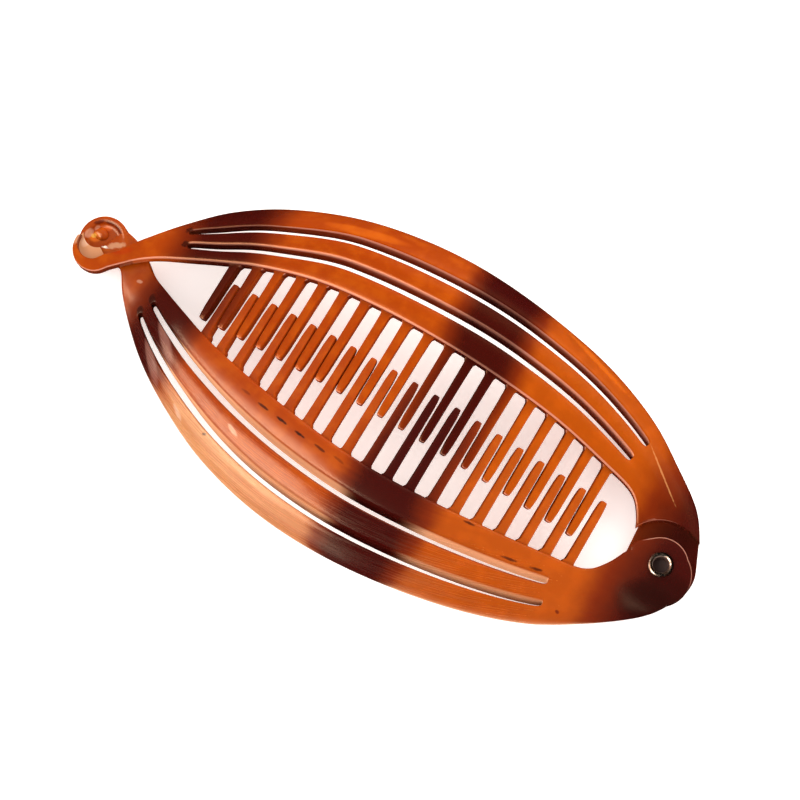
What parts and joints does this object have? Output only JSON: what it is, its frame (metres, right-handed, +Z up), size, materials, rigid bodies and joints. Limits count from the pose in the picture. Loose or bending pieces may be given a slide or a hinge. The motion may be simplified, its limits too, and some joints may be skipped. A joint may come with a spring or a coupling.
{
  "type": "banana hair clip",
  "caption": "Bowed banana hair clip with slotted comb arms whose teeth interlock, riveted together at one end and hooked at the other",
  "frame": {"origin": "middle of the closed clip's footprint, on the surface that it lies on", "axes": "+X runs along the clip from the clasp to the rivet, +Y across it towards the hook arm, and +Z is up, out of the arch"},
  "size_m": [0.1404, 0.0643, 0.0187],
  "materials": {
    "hook_arm_plastic": "polished tortoiseshell",
    "knob_arm_plastic": "polished tortoiseshell",
    "rivet_metal": "polished"
  },
  "bodies": {
    "hook_side": {"hook_arm": "hook_arm_plastic", "hinge_rivet": "rivet_metal"},
    "knob_side": {"knob_arm": "knob_arm_plastic"}
  },
  "joints": [
    {"name": "rivet_hinge", "type": "hinge", "parent": "hook_side", "child": "knob_side", "pos_m": [0.0633, -0.0004, 0.003], "axis": [0, 0, 1], "range_deg": [0, 110]}
  ]
}
